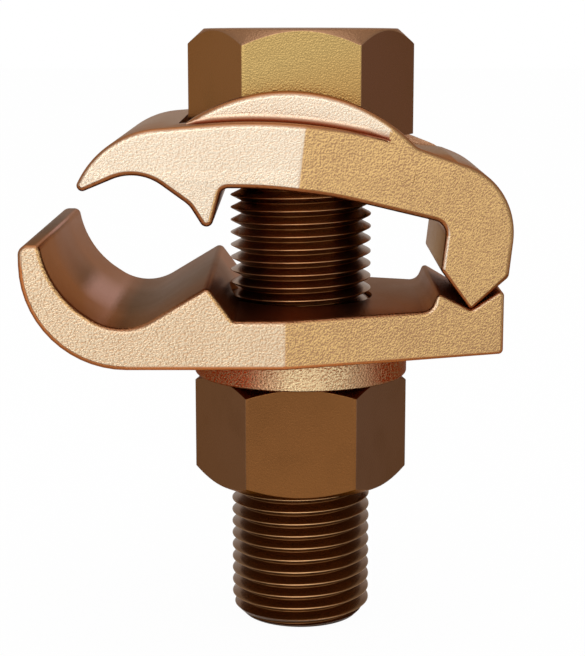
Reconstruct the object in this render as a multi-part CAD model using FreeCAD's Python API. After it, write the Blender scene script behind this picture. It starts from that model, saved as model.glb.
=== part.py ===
import FreeCAD, Part
import math
import os

# Grounding connector: two cast jaws that rock on a fulcrum, drawn together by one bolt and one nut.
# Frame: origin at the centre of the stud's end face, on which the connector stands.
# +Z runs up the bolt, +X towards the fulcrum, the conductor groove opens between the jaws at -X.
# Heights are worked out from the plane where the nut bears on the lower jaw's boss, and every
# piece is raised at the end. Lengths are in millimetres and angles in degrees.

# Castings
half_width = 17.5
lower_taper_x = -1.7
upper_taper_x = -1.6
taper_slope = 0.38
edge_bevel = 0.3
bend_round = 0.6

# Fulcrum: the upper jaw's toe rocks in the lower jaw's seat, both round about one line
fulcrum_x = 18.45
fulcrum_z = 9.25
toe_radius = 0.4
fulcrum_gap = 0.05

# The upper jaw stands open by open_angle and turns through closing_angle
open_angle = 6.2
closing_angle = 8.5

# Bolt and nut
thread_radius = 7.9375
head_flats = 21.84
head_height = 11.66
head_face_radius = 10.77
head_chamfer_angle = 42.4
shank_length = 55.6
shank_end_radius = 6.64
nut_flats = 21.0
nut_height = 12.4
nut_face_radius = 10.3
nut_chamfer_angle = 31.5

# Clearances
nut_gap = 0.06
hole_gap = 0.46
head_side_gap = 0.22
head_end_gap = 0.25
head_seat_gap = 0.02
seat_angle_margin = 0.3

# Lower jaw: corners of its outline from the fulcrum's end round to the groove's lip
underside_z = 3.5
deck_z = 8.8
boss_radius = 12.1
right_end_x = 22.2
end_round = 0.5
seat_flank_angle = 28.5
stop_x = 14.75
stop_round = 0.45
stop_foot_x = 13.9
stop_foot_round = 1.3
ridge_foot_x = -7.1
ridge_foot_round = 0.6
ridge_x = -9.75
ridge_z = 12.4
ridge_round = 0.7
groove_x = -18.85
groove_z = 6.93
groove_round = 5.85
groove_wall_x = -26.14
groove_wall_z = 11.78
groove_wall_round = 10.4
lip_inner_x = -27.1
lip_inner_round = 0.75
lip_top_z = 16.75
left_end_x = -29.42
lip_round = 1.1
belly_round = 11.1

# Upper jaw with its toe's flanks about equally steep: corners of its outline from the toe round
toe_left_angle = 46.5
toe_right_angle = 43.8
back_x = 22.35
back_foot_round = 0.8
back_top_z = 22.62
back_round = 8.2
crest_x = 0.2
crest_z = 28.25
crest_round = 52.8
brow_x = -22.25
brow_z = 24.0
brow_round = 9.9
beak_x = -24.91
beak_z = 17.12
beak_round = 0.58
throat_x = -18.26
throat_z = 20.74
throat_round = 5.2
tooth_shoulder_x = -12.66
tooth_shoulder_z = 17.53
tooth_shoulder_round = 3.0
tooth_x = -10.3
tooth_z = 14.52
tooth_round = 0.7
tooth_root_x = -9.52
tooth_root_z = 19.64
tooth_root_round = 0.9
arch_x = -1.64
arch_z = 20.5
arch_round = 48.0
hook_x = 14.62
hook_z = 17.85
hook_round = 1.6
heel_x = 14.6
heel_round = 0.6

# Cheeks beside the bolt's head, and the arched seat between them
cheek_ledge = 3.45
cheek_centre_x = -1.82
cheek_top_z = 30.17
cheek_radius = 18.66
cheek_foot_radius = 2.0
crown_x = 1.24
crown_z = 25.07
crown_radius = 25.0

# Tolerances: points this close are one point, and a rim edge this short along x is upright
same_point = 0.000001
upright_edge = 0.01

# Sizes that follow from those above
closed_angle = open_angle - closing_angle
hole_radius = thread_radius + hole_gap
channel_half = head_flats / 2 + head_side_gap
cheek_half = half_width - cheek_ledge
cheek_centre_z = cheek_top_z - cheek_radius
head_corner = head_flats / 2 / math.cos(math.radians(30))
clear_height = crown_z + shank_length


def to_upper(x, z, angle):
    """A point of the frame as the upper jaw sees it when it stands open by angle."""
    turn = math.radians(angle)
    dx = x - fulcrum_x
    dz = z - fulcrum_z
    across = dx * math.cos(turn) - dz * math.sin(turn)
    up = dx * math.sin(turn) + dz * math.cos(turn)
    return fulcrum_x + across, fulcrum_z + up


def seat_height(angle):
    """Height of the seat's highest point when the upper jaw stands open by angle."""
    turn = math.radians(angle)
    dx = crown_x - fulcrum_x
    dz = crown_z - crown_radius - fulcrum_z
    return fulcrum_z - dx * math.sin(turn) + dz * math.cos(turn) + crown_radius


head_z = seat_height(open_angle) + head_seat_gap
stand_height = shank_length - head_z


def outline(corners):
    """Closed wire in the XZ plane through corners (x, z, radius), each rounded by its radius."""
    turns = []
    count = len(corners)
    for i in range(count):
        x, z, radius = corners[i]
        here = FreeCAD.Vector(x, 0, z)
        before = FreeCAD.Vector(corners[i - 1][0], 0, corners[i - 1][1])
        after = FreeCAD.Vector(corners[(i + 1) % count][0], 0, corners[(i + 1) % count][1])
        back = (before - here).normalize()
        ahead = (after - here).normalize()
        half = back.getAngle(ahead) / 2
        inward = (back + ahead).normalize()
        start = here + back * (radius / math.tan(half))
        middle = here + inward * (radius / math.sin(half) - radius)
        end = here + ahead * (radius / math.tan(half))
        turns.append((start, middle, end))
    edges = []
    for i in range(count):
        start, middle, end = turns[i]
        if start.distanceToPoint(end) > same_point:
            edges.append(Part.Arc(start, middle, end).toShape())
        following = turns[(i + 1) % count][0]
        if end.distanceToPoint(following) > same_point:
            edges.append(Part.makeLine(end, following))
    return Part.Wire(edges)


def slab(wire, half):
    """Solid between the planes y = -half and y = half with the wire as its outline."""
    solid = Part.Face(wire).extrude(FreeCAD.Vector(0, 2 * half, 0))
    solid.translate(FreeCAD.Vector(0, -half, 0))
    return solid


def plan(taper_x):
    """Tall prism with the jaws' plan: straight sides, then tapered ones towards the fulcrum."""
    far_x = right_end_x + deck_z
    far_half = half_width - taper_slope * (far_x - taper_x)
    near_x = left_end_x - deck_z
    points = []
    for x, y in (
        (near_x, -half_width),
        (taper_x, -half_width),
        (far_x, -far_half),
        (far_x, far_half),
        (taper_x, half_width),
        (near_x, half_width),
    ):
        points.append(FreeCAD.Vector(x, y, 0))
    points.append(points[0])
    prism = Part.Face(Part.makePolygon(points)).extrude(FreeCAD.Vector(0, 0, clear_height))
    bends = []
    for edge in prism.Edges:
        middle = edge.CenterOfMass
        if edge.BoundBox.ZLength > bend_round and abs(middle.x - taper_x) < same_point:
            bends.append(edge)
    return prism.makeFillet(bend_round, bends)


def rim(shape, low_z):
    """Edges above low_z where a side face of the casting meets its outline."""
    found = []
    for edge in shape.Edges:
        sides = 0
        for face in shape.ancestorsOfType(edge, Part.Face):
            u0, u1, v0, v1 = face.ParameterRange
            normal = face.normalAt((u0 + u1) / 2, (v0 + v1) / 2)
            if abs(normal.y) > 0.5:
                sides += 1
        if sides == 1 and edge.BoundBox.ZMin > low_z:
            found.append(edge)
    return found


def hexagon(flats, low_z, high_z):
    """Hexagonal prism with two flats facing front and back."""
    corner = flats / 2 / math.cos(math.radians(30))
    points = []
    for i in range(7):
        turn = math.radians(60 * i)
        points.append(FreeCAD.Vector(corner * math.cos(turn), corner * math.sin(turn), low_z))
    return Part.Face(Part.makePolygon(points)).extrude(FreeCAD.Vector(0, 0, high_z - low_z))


def turned(points):
    """Solid of revolution about the bolt's axis from points (radius, z)."""
    ring = [FreeCAD.Vector(r, 0, z) for r, z in points]
    ring.append(ring[0])
    face = Part.Face(Part.makePolygon(ring))
    return face.revolve(FreeCAD.Vector(0, 0, 0), FreeCAD.Vector(0, 0, 1), 360)


def cylinder(radius, low_z, high_z):
    """Upright cylinder on the bolt's axis."""
    return Part.makeCylinder(radius, high_z - low_z, FreeCAD.Vector(0, 0, low_z))


def make_lower_jaw():
    """Casting with the conductor groove, the ridge, the deck, the fulcrum's seat and the boss."""
    seat_radius = toe_radius + fulcrum_gap
    flank = math.radians(seat_flank_angle)
    seat_z = fulcrum_z - seat_radius / math.cos(flank)
    right_top_z = seat_z + (right_end_x - fulcrum_x) * math.tan(flank)
    stop_z = seat_z + (fulcrum_x - stop_x) * math.tan(flank)
    corners = [
        (right_end_x, underside_z, end_round),
        (right_end_x, right_top_z, end_round),
        (fulcrum_x, seat_z, seat_radius),
        (stop_x, stop_z, stop_round),
        (stop_foot_x, deck_z, stop_foot_round),
        (ridge_foot_x, deck_z, ridge_foot_round),
        (ridge_x, ridge_z, ridge_round),
        (groove_x, groove_z, groove_round),
        (groove_wall_x, groove_wall_z, groove_wall_round),
        (lip_inner_x, lip_top_z, lip_inner_round),
        (left_end_x, lip_top_z, lip_round),
        (left_end_x, underside_z, belly_round),
    ]
    jaw = slab(outline(corners), half_width).common(plan(lower_taper_x)).Solids[0]
    jaw = jaw.makeChamfer(edge_bevel, rim(jaw, 0))
    jaw = jaw.fuse(cylinder(boss_radius, 0, (underside_z + deck_z) / 2))
    return jaw.cut(cylinder(hole_radius, -deck_z, clear_height))


def make_upper_jaw():
    """Casting with the beak, the tooth, the cheeks that hold the bolt's head, and the toe."""
    toe_left = math.radians(toe_left_angle)
    toe_right = math.radians(toe_right_angle)
    toe_z = fulcrum_z - toe_radius / math.cos((toe_left + toe_right) / 2)
    heel_z = toe_z + (fulcrum_x - heel_x) * math.tan(toe_left)
    back_z = toe_z + (back_x - fulcrum_x) * math.tan(toe_right)
    corners = [
        (fulcrum_x, toe_z, toe_radius),
        (back_x, back_z, back_foot_round),
        (back_x, back_top_z, back_round),
        (crest_x, crest_z, crest_round),
        (brow_x, brow_z, brow_round),
        (beak_x, beak_z, beak_round),
        (throat_x, throat_z, throat_round),
        (tooth_shoulder_x, tooth_shoulder_z, tooth_shoulder_round),
        (tooth_x, tooth_z, tooth_round),
        (tooth_root_x, tooth_root_z, tooth_root_round),
        (arch_x, arch_z, arch_round),
        (hook_x, hook_z, hook_round),
        (heel_x, heel_z, heel_round),
    ]
    jaw = slab(outline(corners), half_width).common(plan(upper_taper_x)).Solids[0]
    jaw = jaw.makeChamfer(edge_bevel, rim(jaw, 0))
    jaw = jaw.fuse(make_cheeks())
    jaw = jaw.cut(make_channel())
    jaw = jaw.cut(make_slot())
    jaw.rotate(
        FreeCAD.Vector(fulcrum_x, 0, fulcrum_z),
        FreeCAD.Vector(0, 1, 0),
        open_angle,
    )
    return jaw


def make_cheeks():
    """Round-topped block on the back, later cut through, with a hollow foot towards the fulcrum."""
    buried_z = crown_z - cheek_ledge
    centre = FreeCAD.Vector(cheek_centre_x, 0, cheek_centre_z)
    back = FreeCAD.Vector(back_x, 0, back_top_z)
    crest = FreeCAD.Vector(crest_x, 0, crest_z)
    along = (back - crest).normalize()
    up = FreeCAD.Vector(-along.z, 0, along.x)
    reach = cheek_radius + cheek_foot_radius
    rise = (back - centre).dot(up) + cheek_foot_radius
    hollow = centre + up * rise + along * math.sqrt(reach ** 2 - rise ** 2)
    leave = centre + (hollow - centre) * (cheek_radius / reach)
    land = hollow - up * cheek_foot_radius
    inward = ((leave - hollow) + (land - hollow)).normalize()
    left_x = cheek_centre_x - 0.75 * cheek_radius
    left_z = cheek_centre_z + math.sqrt(cheek_radius ** 2 - (left_x - cheek_centre_x) ** 2)
    left = FreeCAD.Vector(left_x, 0, left_z)
    top = FreeCAD.Vector(cheek_centre_x, 0, cheek_centre_z + cheek_radius)
    dome = Part.Arc(left, top, leave).toShape()
    foot = Part.Arc(leave, hollow + inward * cheek_foot_radius, land).toShape()
    below = Part.makePolygon(
        [land, FreeCAD.Vector(land.x, 0, buried_z), FreeCAD.Vector(left_x, 0, buried_z), left]
    )
    block = slab(Part.Wire([dome, foot] + below.Edges), cheek_half)
    block = block.common(plan(upper_taper_x)).Solids[0]
    edges = [edge for edge in rim(block, buried_z + edge_bevel) if edge.BoundBox.XLength > upright_edge]
    return block.makeChamfer(edge_bevel, edges)


def make_channel():
    """What is cut between the cheeks: the head's arched seat, its run-offs and its end wall."""
    left = math.radians(open_angle + seat_angle_margin)
    right = math.radians(seat_angle_margin - closed_angle)
    end_x = to_upper(-head_corner, head_z + head_height / 4, open_angle)[0] - head_end_gap
    left_x = crown_x - crown_radius * math.sin(left)
    left_z = crown_z - crown_radius * (1 - math.cos(left))
    right_x = crown_x + crown_radius * math.sin(right)
    right_z = crown_z - crown_radius * (1 - math.cos(right))
    out_x = fulcrum_x
    out_z = right_z - (out_x - right_x) * math.tan(right)
    floor = Part.Arc(
        FreeCAD.Vector(left_x, 0, left_z),
        FreeCAD.Vector(crown_x, 0, crown_z),
        FreeCAD.Vector(right_x, 0, right_z),
    )
    rest = Part.makePolygon(
        [
            FreeCAD.Vector(right_x, 0, right_z),
            FreeCAD.Vector(out_x, 0, out_z),
            FreeCAD.Vector(out_x, 0, clear_height),
            FreeCAD.Vector(end_x, 0, clear_height),
            FreeCAD.Vector(end_x, 0, left_z - (left_x - end_x) * math.tan(left)),
            FreeCAD.Vector(left_x, 0, left_z),
        ]
    )
    return slab(Part.Wire([floor.toShape()] + rest.Edges), channel_half)


def make_slot():
    """The bolt's hole in the upper jaw, long enough for the bolt at every angle of the jaw."""
    low_z = deck_z
    ends = []
    tools = []
    for angle in (open_angle, closed_angle):
        low = to_upper(0, low_z, angle)
        high = to_upper(0, clear_height, angle)
        base = FreeCAD.Vector(low[0], 0, low[1])
        top = FreeCAD.Vector(high[0], 0, high[1])
        ends.append((base, top))
        tools.append(Part.makeCylinder(hole_radius, (top - base).Length, base, top - base))
    corners = [ends[0][0], ends[1][0], ends[1][1], ends[0][1], ends[0][0]]
    between = slab(Part.makePolygon(corners), hole_radius)
    return between.fuse(tools)


def make_bolt():
    """Hexagonal head with a chamfered top and a full-length shank with a chamfered end."""
    top_z = head_z + head_height
    end_z = head_z - shank_length
    wide = head_corner * 1.1
    drop = (wide - head_face_radius) * math.tan(math.radians(head_chamfer_angle))
    cap = turned(
        [
            (0, head_z),
            (wide, head_z),
            (wide, top_z - drop),
            (head_face_radius, top_z),
            (0, top_z),
        ]
    )
    head = hexagon(head_flats, head_z, top_z).common(cap)
    shank = turned(
        [
            (0, end_z),
            (shank_end_radius, end_z),
            (thread_radius, end_z + thread_radius - shank_end_radius),
            (thread_radius, head_z + head_height / 2),
            (0, head_z + head_height / 2),
        ]
    )
    return head.fuse(shank)


def make_nut():
    """Hexagonal nut chamfered on both faces, its bore at the thread's crests."""
    wide = 1.1 * nut_flats / 2 / math.cos(math.radians(30))
    drop = (wide - nut_face_radius) * math.tan(math.radians(nut_chamfer_angle))
    blank = turned(
        [
            (0, -nut_height),
            (nut_face_radius, -nut_height),
            (wide, -nut_height + drop),
            (wide, -drop),
            (nut_face_radius, 0),
            (0, 0),
        ]
    )
    body = hexagon(nut_flats, -nut_height, 0).common(blank)
    return body.cut(cylinder(thread_radius + nut_gap, -2 * nut_height, nut_height))


os.makedirs("parts", exist_ok=True)
for name, shape in (
    ("lower_jaw", make_lower_jaw()),
    ("upper_jaw", make_upper_jaw()),
    ("bolt", make_bolt()),
    ("nut", make_nut()),
):
    solid = shape.Solids[0]
    solid.translate(FreeCAD.Vector(0, 0, stand_height))
    solid.exportStep("parts/" + name + ".step")
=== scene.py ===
import math

import bmesh
import bpy
import numpy as np
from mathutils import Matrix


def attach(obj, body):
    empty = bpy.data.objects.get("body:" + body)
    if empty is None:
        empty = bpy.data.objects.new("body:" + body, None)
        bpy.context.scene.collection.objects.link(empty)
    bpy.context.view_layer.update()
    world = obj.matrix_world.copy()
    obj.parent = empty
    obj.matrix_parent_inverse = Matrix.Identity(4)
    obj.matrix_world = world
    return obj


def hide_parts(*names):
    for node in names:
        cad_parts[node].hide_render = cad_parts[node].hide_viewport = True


bl_info = {
    "name": "Grounding connector",
    "version": (1, 0, 0),
    "blender": (4, 5, 0),
    "location": "3D View > Sidebar > Connector",
    "description": "Two cast jaws, a threaded bolt and a hexagonal nut on a pale studio floor",
    "category": "Object",
}

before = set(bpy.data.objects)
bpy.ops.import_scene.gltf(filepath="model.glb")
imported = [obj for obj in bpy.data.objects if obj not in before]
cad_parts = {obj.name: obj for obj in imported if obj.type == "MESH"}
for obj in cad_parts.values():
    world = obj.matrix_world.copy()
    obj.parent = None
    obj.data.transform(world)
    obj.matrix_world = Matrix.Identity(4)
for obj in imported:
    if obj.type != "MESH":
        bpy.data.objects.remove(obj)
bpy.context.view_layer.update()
MM = 0.001

# Shared sizes in millimetres. Heights count from the plane where the nut bears on the boss.
HEAD_SEAT_Z = 27.0024
HEAD_HEIGHT = 11.66
HEAD_FLATS = 21.84
SHANK_LENGTH = 55.6
STAND = SHANK_LENGTH - HEAD_SEAT_Z
NUT_HEIGHT = 12.4
FULCRUM = (18.45, 9.25)
OPEN_ANGLE = 6.2
CLOSING_ANGLE = 8.5
HALF_WIDTH = 17.5
TAPER_SLOPE = 0.38
LOWER_BEND_X = -1.7
UPPER_BEND_X = -1.6
UNDERSIDE_Z = 3.5
DECK_Z = 8.8
RIDGE_X = -9.75

# The upper jaw's back and cheeks, as they are drawn before the jaw is turned open.
BROW = (-22.25, 24.0)
CREST = (0.2, 28.25)
CREST_RADIUS = 52.8
BACK_TOP = (22.35, 22.62)
CHEEK_CENTRE = (-1.82, 11.51)
CHEEK_RADIUS = 18.66
CHEEK_HALF = 14.05

# A limit larger than any rim, the points round a hole, and the tint of the metal's reflections.
FREE_RIM = 9.0
SEGMENTS = 144
WARM_TINT = (0.6, 0.45, 0.36, 1.0)


# Profiles and meshes


def rounded(corners, samples):
    """Closed outline through corners (x, z, radius).

    Each row holds x, z, the outward normal and the largest rim that fits there. A corner becomes an
    arc: centre = corner + bisector * radius / sin(half the inner angle), and its points go round that
    centre from one tangent point to the other in equal angles. A rim has to be smaller than the
    radius of an outer corner.
    """
    data = np.array(corners, float)
    here, radius = data[:, :2], data[:, 2]
    back = np.roll(here, 1, 0) - here
    ahead = np.roll(here, -1, 0) - here
    back /= np.linalg.norm(back, axis=1)[:, None]
    ahead /= np.linalg.norm(ahead, axis=1)[:, None]
    half = np.arccos(np.clip((back * ahead).sum(1), -1, 1)) / 2
    inward = back + ahead
    inward /= np.linalg.norm(inward, axis=1)[:, None]
    centre = here + inward * (radius / np.sin(half))[:, None]
    turn = np.sign(back[:, 1] * ahead[:, 0] - back[:, 0] * ahead[:, 1])
    sweep = (math.pi - 2 * half) * turn
    middle = np.arctan2(-inward[:, 1], -inward[:, 0])
    angle = middle[:, None] + sweep[:, None] * (np.linspace(0, 1, samples) - 0.5)[None, :]
    spoke = spokes(angle)
    points = centre[:, None, :] + spoke * radius[:, None, None]
    room = np.where(turn > 0, 0.85 * radius, FREE_RIM)[:, None, None] * np.ones((1, samples, 1))
    return np.concatenate([points, spoke * turn[:, None, None], room], 2).reshape(-1, 5)


def spokes(angle):
    """Unit vectors at the angles."""
    return np.stack([np.cos(angle), np.sin(angle)], -1)


def cross_at(outline, places):
    """Adds a row wherever the closed outline passes one of the places in x."""
    step = np.roll(outline, -1, 0) - outline
    run = np.where(step[:, 0] == 0, np.inf, step[:, 0])
    keys, rows = [np.arange(len(outline), dtype=float)], [outline]
    for place in places:
        share = (place - outline[:, 0]) / run
        hit = np.nonzero((share > 0) & (share < 1))[0]
        keys.append(hit + share[hit])
        rows.append(outline[hit] + step[hit] * share[hit, None])
    joined = np.concatenate(rows)[np.argsort(np.concatenate(keys), kind="stable")]
    joined[:, 2:4] /= np.linalg.norm(joined[:, 2:4], axis=1)[:, None]
    return joined


def plan_half(x, bend_x):
    """Half width of a casting at x: straight up to a rounded bend, then falling by the taper.

    half = HALF_WIDTH - TAPER_SLOPE * (t + sqrt(t * t + e * e)) / 2 with t = x - bend and a small e.
    """
    bend_round = 0.6
    t = np.asarray(x, float) - bend_x
    e = bend_round * TAPER_SLOPE
    ramp = (t + np.sqrt(t * t + e * e)) / 2
    return HALF_WIDTH - TAPER_SLOPE * ramp


def ring_grid(rows, count):
    """Indices of the points of stacked rings, the last ring left out, and of the next point round each."""
    here = np.arange((rows - 1) * count).reshape(rows - 1, count)
    return here, np.roll(here, -1, 1)


def carried(outline, side, rim, splits):
    """Body with the outline carried across its width, its side edges rounded and its sides closed.

    At angle t of the rim, the outline lies inward by rim * (1 - cos t), at
    y = side(x) - rim * (1 - sin t), with t running from 0 at the outline to 90 degrees at the side.
    """
    steps = 7
    t = (math.pi / 2) * (1 - (1 - np.linspace(0, 1, steps)) ** 1.6)
    inset = np.concatenate([1 - np.cos(t[::-1]), 1 - np.cos(t)])
    drop = np.concatenate([1 - np.sin(t[::-1]), 1 - np.sin(t)])
    sign = np.concatenate([-np.ones(steps), np.ones(steps)])
    local = np.minimum(rim, outline[:, 4])
    flat = outline[None, :, :2] - outline[None, :, 2:4] * (inset[:, None] * local[None, :])[:, :, None]
    y = sign[:, None] * (side(flat[:, :, 0]) - drop[:, None] * local[None, :])
    grid = np.stack([flat[:, :, 0], y, flat[:, :, 1]], 2)
    rows, count = grid.shape[:2]
    here, ahead = ring_grid(rows, count)
    faces = np.stack([here, here + count, ahead + count, ahead], 2).reshape(-1, 4).tolist()
    base = (rows - 1) * count
    for ring in side_faces(outline[:, 0], splits):
        faces.append(ring.tolist())
        faces.append((ring[::-1] + base).tolist())
    return grid.reshape(-1, 3), faces


def side_faces(x, splits):
    """Index rings of a side's polygons: the outline cut at each x of splits, which it crosses twice."""
    count = len(x)
    cuts = [np.nonzero(np.abs(x - place) < 1e-9)[0] for place in splits]

    def beyond(cut, way):
        """The stretch between a cut's two points that lies before it, for way -1, or past it, for way 1."""
        stretch = span(cut[0], cut[1], count)
        if (x[stretch].mean() - x[cut[0]]) * way > 0:
            return stretch
        return span(cut[1], cut[0], count)

    rings = [beyond(cuts[0], -1), beyond(cuts[-1], 1)]
    start = rings[0][0]
    pairs = [sorted(cut, key=lambda place: abs(place - start)) for cut in cuts]
    for near, far in zip(pairs[:-1], pairs[1:]):
        rings.append(np.array([near[1], far[1], far[0], near[0]]))
    return rings


def span(start, stop, count):
    """Indices from start to stop round a closed outline of count points."""
    length = (stop - start) % count + 1
    return (start + np.arange(length)) % count


def revolved(profile):
    """Closed surface of revolution about the bolt's axis: x = r cos a, y = r sin a for each (r, z)."""
    data = np.array(profile, float)
    angle = np.linspace(0, 2 * math.pi, SEGMENTS, endpoint=False)
    flat = data[:, None, :1] * spokes(angle)[None, :, :]
    high = np.broadcast_to(data[:, None, 1:], (len(data), SEGMENTS, 1))
    return closed_tube(np.concatenate([flat, high], 2))


def closed_tube(grid):
    """Vertices and faces of rings stacked in order, joined round and closed by one face at each end."""
    rows, count = grid.shape[:2]
    here, ahead = ring_grid(rows, count)
    faces = np.stack([here, ahead, ahead + count, here + count], 2).reshape(-1, 4).tolist()
    faces.append(np.arange(count)[::-1].tolist())
    faces.append(((rows - 1) * count + np.arange(count)).tolist())
    return grid.reshape(-1, 3), faces


def turned(x, z, angle):
    """x and z turned in their plane by an angle in degrees: x cos a + z sin a and z cos a - x sin a."""
    turn = math.radians(angle)
    return x * math.cos(turn) + z * math.sin(turn), z * math.cos(turn) - x * math.sin(turn)


def about_fulcrum(x, z, angle):
    """x and z turned about the fulcrum by an angle in degrees: a positive one opens the jaw."""
    dx, dz = turned(x - FULCRUM[0], z - FULCRUM[1], angle)
    return FULCRUM[0] + dx, FULCRUM[1] + dz


def open_up(mesh):
    """Turns the upper jaw's mesh about the fulcrum, from the place in which it is drawn to the open one."""
    flat = np.zeros(3 * len(mesh.vertices))
    mesh.vertices.foreach_get("co", flat)
    flat = flat.reshape(-1, 3) / MM
    x, z = about_fulcrum(flat[:, 0], flat[:, 2] - STAND, OPEN_ANGLE)
    flat = np.stack([x, flat[:, 1], z + STAND], 1) * MM
    mesh.vertices.foreach_set("co", flat.ravel())
    mesh.update()


def new_piece(name, vertices, faces):
    """Object at the origin with a mesh in metres. The vertices are in millimetres from the nut's seat."""
    mesh = bpy.data.meshes.new(name)
    placed = (np.asarray(vertices, float) + np.array([0, 0, STAND])) * MM
    mesh.from_pydata(placed.tolist(), [], faces)
    mesh.update()
    piece = bpy.data.objects.new(name, mesh)
    bpy.context.scene.collection.objects.link(piece)
    return piece


def combine(piece, tool, operation):
    """Joins the tool to the piece, or cuts with it, closes slivers left open and removes the tool."""
    cut = piece.modifiers.new("cut", "BOOLEAN")
    cut.object = tool
    cut.operation = operation
    cut.solver = "EXACT"
    evaluated = piece.evaluated_get(bpy.context.evaluated_depsgraph_get())
    result = bpy.data.meshes.new_from_object(evaluated)
    seams = bmesh.new()
    seams.from_mesh(result)
    bmesh.ops.holes_fill(seams, edges=[edge for edge in seams.edges if edge.is_boundary], sides=8)
    seams.to_mesh(result)
    seams.free()
    old = piece.data
    piece.modifiers.clear()
    piece.data = result
    result.name = piece.name
    bpy.data.meshes.remove(old)
    bpy.data.objects.remove(tool, do_unlink=True)
    if len(result.polygons) == 0:
        raise RuntimeError(piece.name + " has no faces left after a cut")


def shade(piece, angle=33.0, flat_area=1.0):
    """Smooth shading up to the angle, with the large plane faces kept flat."""
    mesh = piece.data
    mesh.validate()
    area = np.zeros(len(mesh.polygons))
    mesh.polygons.foreach_get("area", area)
    normal = np.zeros(3 * len(mesh.polygons))
    mesh.polygons.foreach_get("normal", normal)
    side = np.abs(normal.reshape(-1, 3)[:, 1]) > 0.9
    smooth = ~(side & (area > flat_area * MM * MM))
    mesh.set_sharp_from_angle(angle=math.radians(angle))
    mesh.polygons.foreach_set("use_smooth", smooth)
    mesh.update()


def record_facing(piece, turn=0.0):
    """Keeps each corner's normal, turned back by an angle, as the attribute facing.

    It tells a finish how the skin lies in its mould.
    """
    mesh = piece.data
    normal = np.zeros(3 * len(mesh.loops))
    mesh.corner_normals.foreach_get("vector", normal)
    normal = normal.reshape(-1, 3)
    x, z = turned(normal[:, 0], normal[:, 2], -turn)
    layer = mesh.attributes.new("facing", "FLOAT_VECTOR", "CORNER")
    layer.data.foreach_set("vector", np.stack([x, normal[:, 1], z], 1).ravel())


# Finishes


class Wire:
    """A shader socket in a sum: each operator adds one Math node and gives its result."""

    def __init__(self, tree, socket):
        self.tree = tree
        self.socket = socket

    def math(self, operation, *others, clamp=False):
        """The result of one Math node."""
        made = self.tree.nodes.new("ShaderNodeMath")
        made.operation = operation
        made.use_clamp = clamp
        for slot, value in zip(made.inputs, (self,) + others):
            if isinstance(value, Wire):
                self.tree.links.new(value.socket, slot)
            else:
                slot.default_value = value
        return Wire(self.tree, made.outputs[0])

    def __add__(self, other):
        return self.math("ADD", other)

    __radd__ = __add__

    def __sub__(self, other):
        return self.math("SUBTRACT", other)

    def __rsub__(self, other):
        return -self + other

    def __mul__(self, other):
        return self.math("MULTIPLY", other)

    __rmul__ = __mul__

    def __pow__(self, other):
        return self.math("POWER", other)

    def __neg__(self):
        return self.math("MULTIPLY", -1.0)

    def __abs__(self):
        return self.math("ABSOLUTE")

    def most(self, other):
        """The larger of both values."""
        return self.math("MAXIMUM", other)

    def held(self):
        """The value kept between 0 and 1."""
        return self.math("ADD", 0.0, clamp=True)

    def rise(self, low, high):
        """0 below low, 1 above high and straight between."""
        return ((self - low) * (1.0 / (high - low))).held()


class Graph:
    """The emptied node tree of a material or a world, and the one method that adds nodes to it."""

    def __init__(self, owner):
        owner.use_nodes = True
        self.tree = owner.node_tree
        self.tree.nodes.clear()

    def node(self, kind, settings=None, values=None, output=0):
        """One output of a new node, whose settings are set before its sockets' values or links."""
        made = self.tree.nodes.new("ShaderNode" + kind)
        for key, value in (settings or {}).items():
            if key == "stops":
                ramp = made.color_ramp
                while len(ramp.elements) < len(value):
                    ramp.elements.new(0.5)
                for element, (place, colour) in zip(ramp.elements, value):
                    element.position = place
                    element.color = colour
            else:
                setattr(made, key, value)
        for key, value in (values or {}).items():
            if isinstance(value, Wire):
                self.tree.links.new(value.socket, made.inputs[key])
            else:
                made.inputs[key].default_value = value
        return Wire(self.tree, made.outputs[output]) if made.outputs else None


class Finish(Graph):
    """A material and the nodes that its looks are made of."""

    def __init__(self, name):
        self.material = bpy.data.materials.new(name)
        super().__init__(self.material)

    def mix(self, share, first, second):
        """Colour between first at share 0 and second at share 1."""
        first, second = (end if isinstance(end, Wire) else rgba(end) for end in (first, second))
        settings = {"data_type": "RGBA", "clamp_factor": True}
        return self.node("Mix", settings, {0: share, 6: first, 7: second}, output=2)

    def parts(self, vector):
        """The three parts of a vector."""
        outs = self.node("SeparateXYZ", None, {0: vector}).socket.node.outputs
        return [Wire(self.tree, out) for out in outs]

    def place(self):
        """The Object coordinates in millimetres, as a vector and as its three parts."""
        point = self.node("TexCoord", output=3)
        whole = self.node("VectorMath", {"operation": "SCALE"}, {0: point, 3: 1.0 / MM})
        return whole, *self.parts(whole)

    def facing(self):
        """The three parts of the attribute facing."""
        return self.parts(self.node("Attribute", {"attribute_name": "facing"}, output=1))

    def noise(self, point, scale, detail=2.0):
        """Noise with scale waves in a millimetre."""
        return self.node("TexNoise", None, {"Vector": point, "Scale": scale, "Detail": detail})

    def metal(self, colour, rough, others=None):
        """Metal with a base colour, a roughness and other values, to the material's output."""
        values = {"Base Color": colour, "Roughness": rough.held(), "Metallic": 1.0, **(others or {})}
        shader = self.node("BsdfPrincipled", None, values)
        self.node("OutputMaterial", None, {"Surface": shader})
        return self.material

    def bump(self, height, distance):
        """Bump node: height from 0 to 1 over a distance in millimetres."""
        return self.node("Bump", None, {"Height": height, "Distance": distance * MM})

    def glow(self, colour):
        """Plain light of one colour."""
        return self.node("Emission", None, {"Color": colour})


def dress(piece, material):
    """Gives a piece one material, in place of those that its tools left."""
    piece.data.materials.clear()
    piece.data.materials.append(material)


def rgba(colour, share=1.0):
    """A colour as a socket takes it, darkened to a share."""
    return (colour[0] * share, colour[1] * share, colour[2] * share, 1.0)


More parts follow.
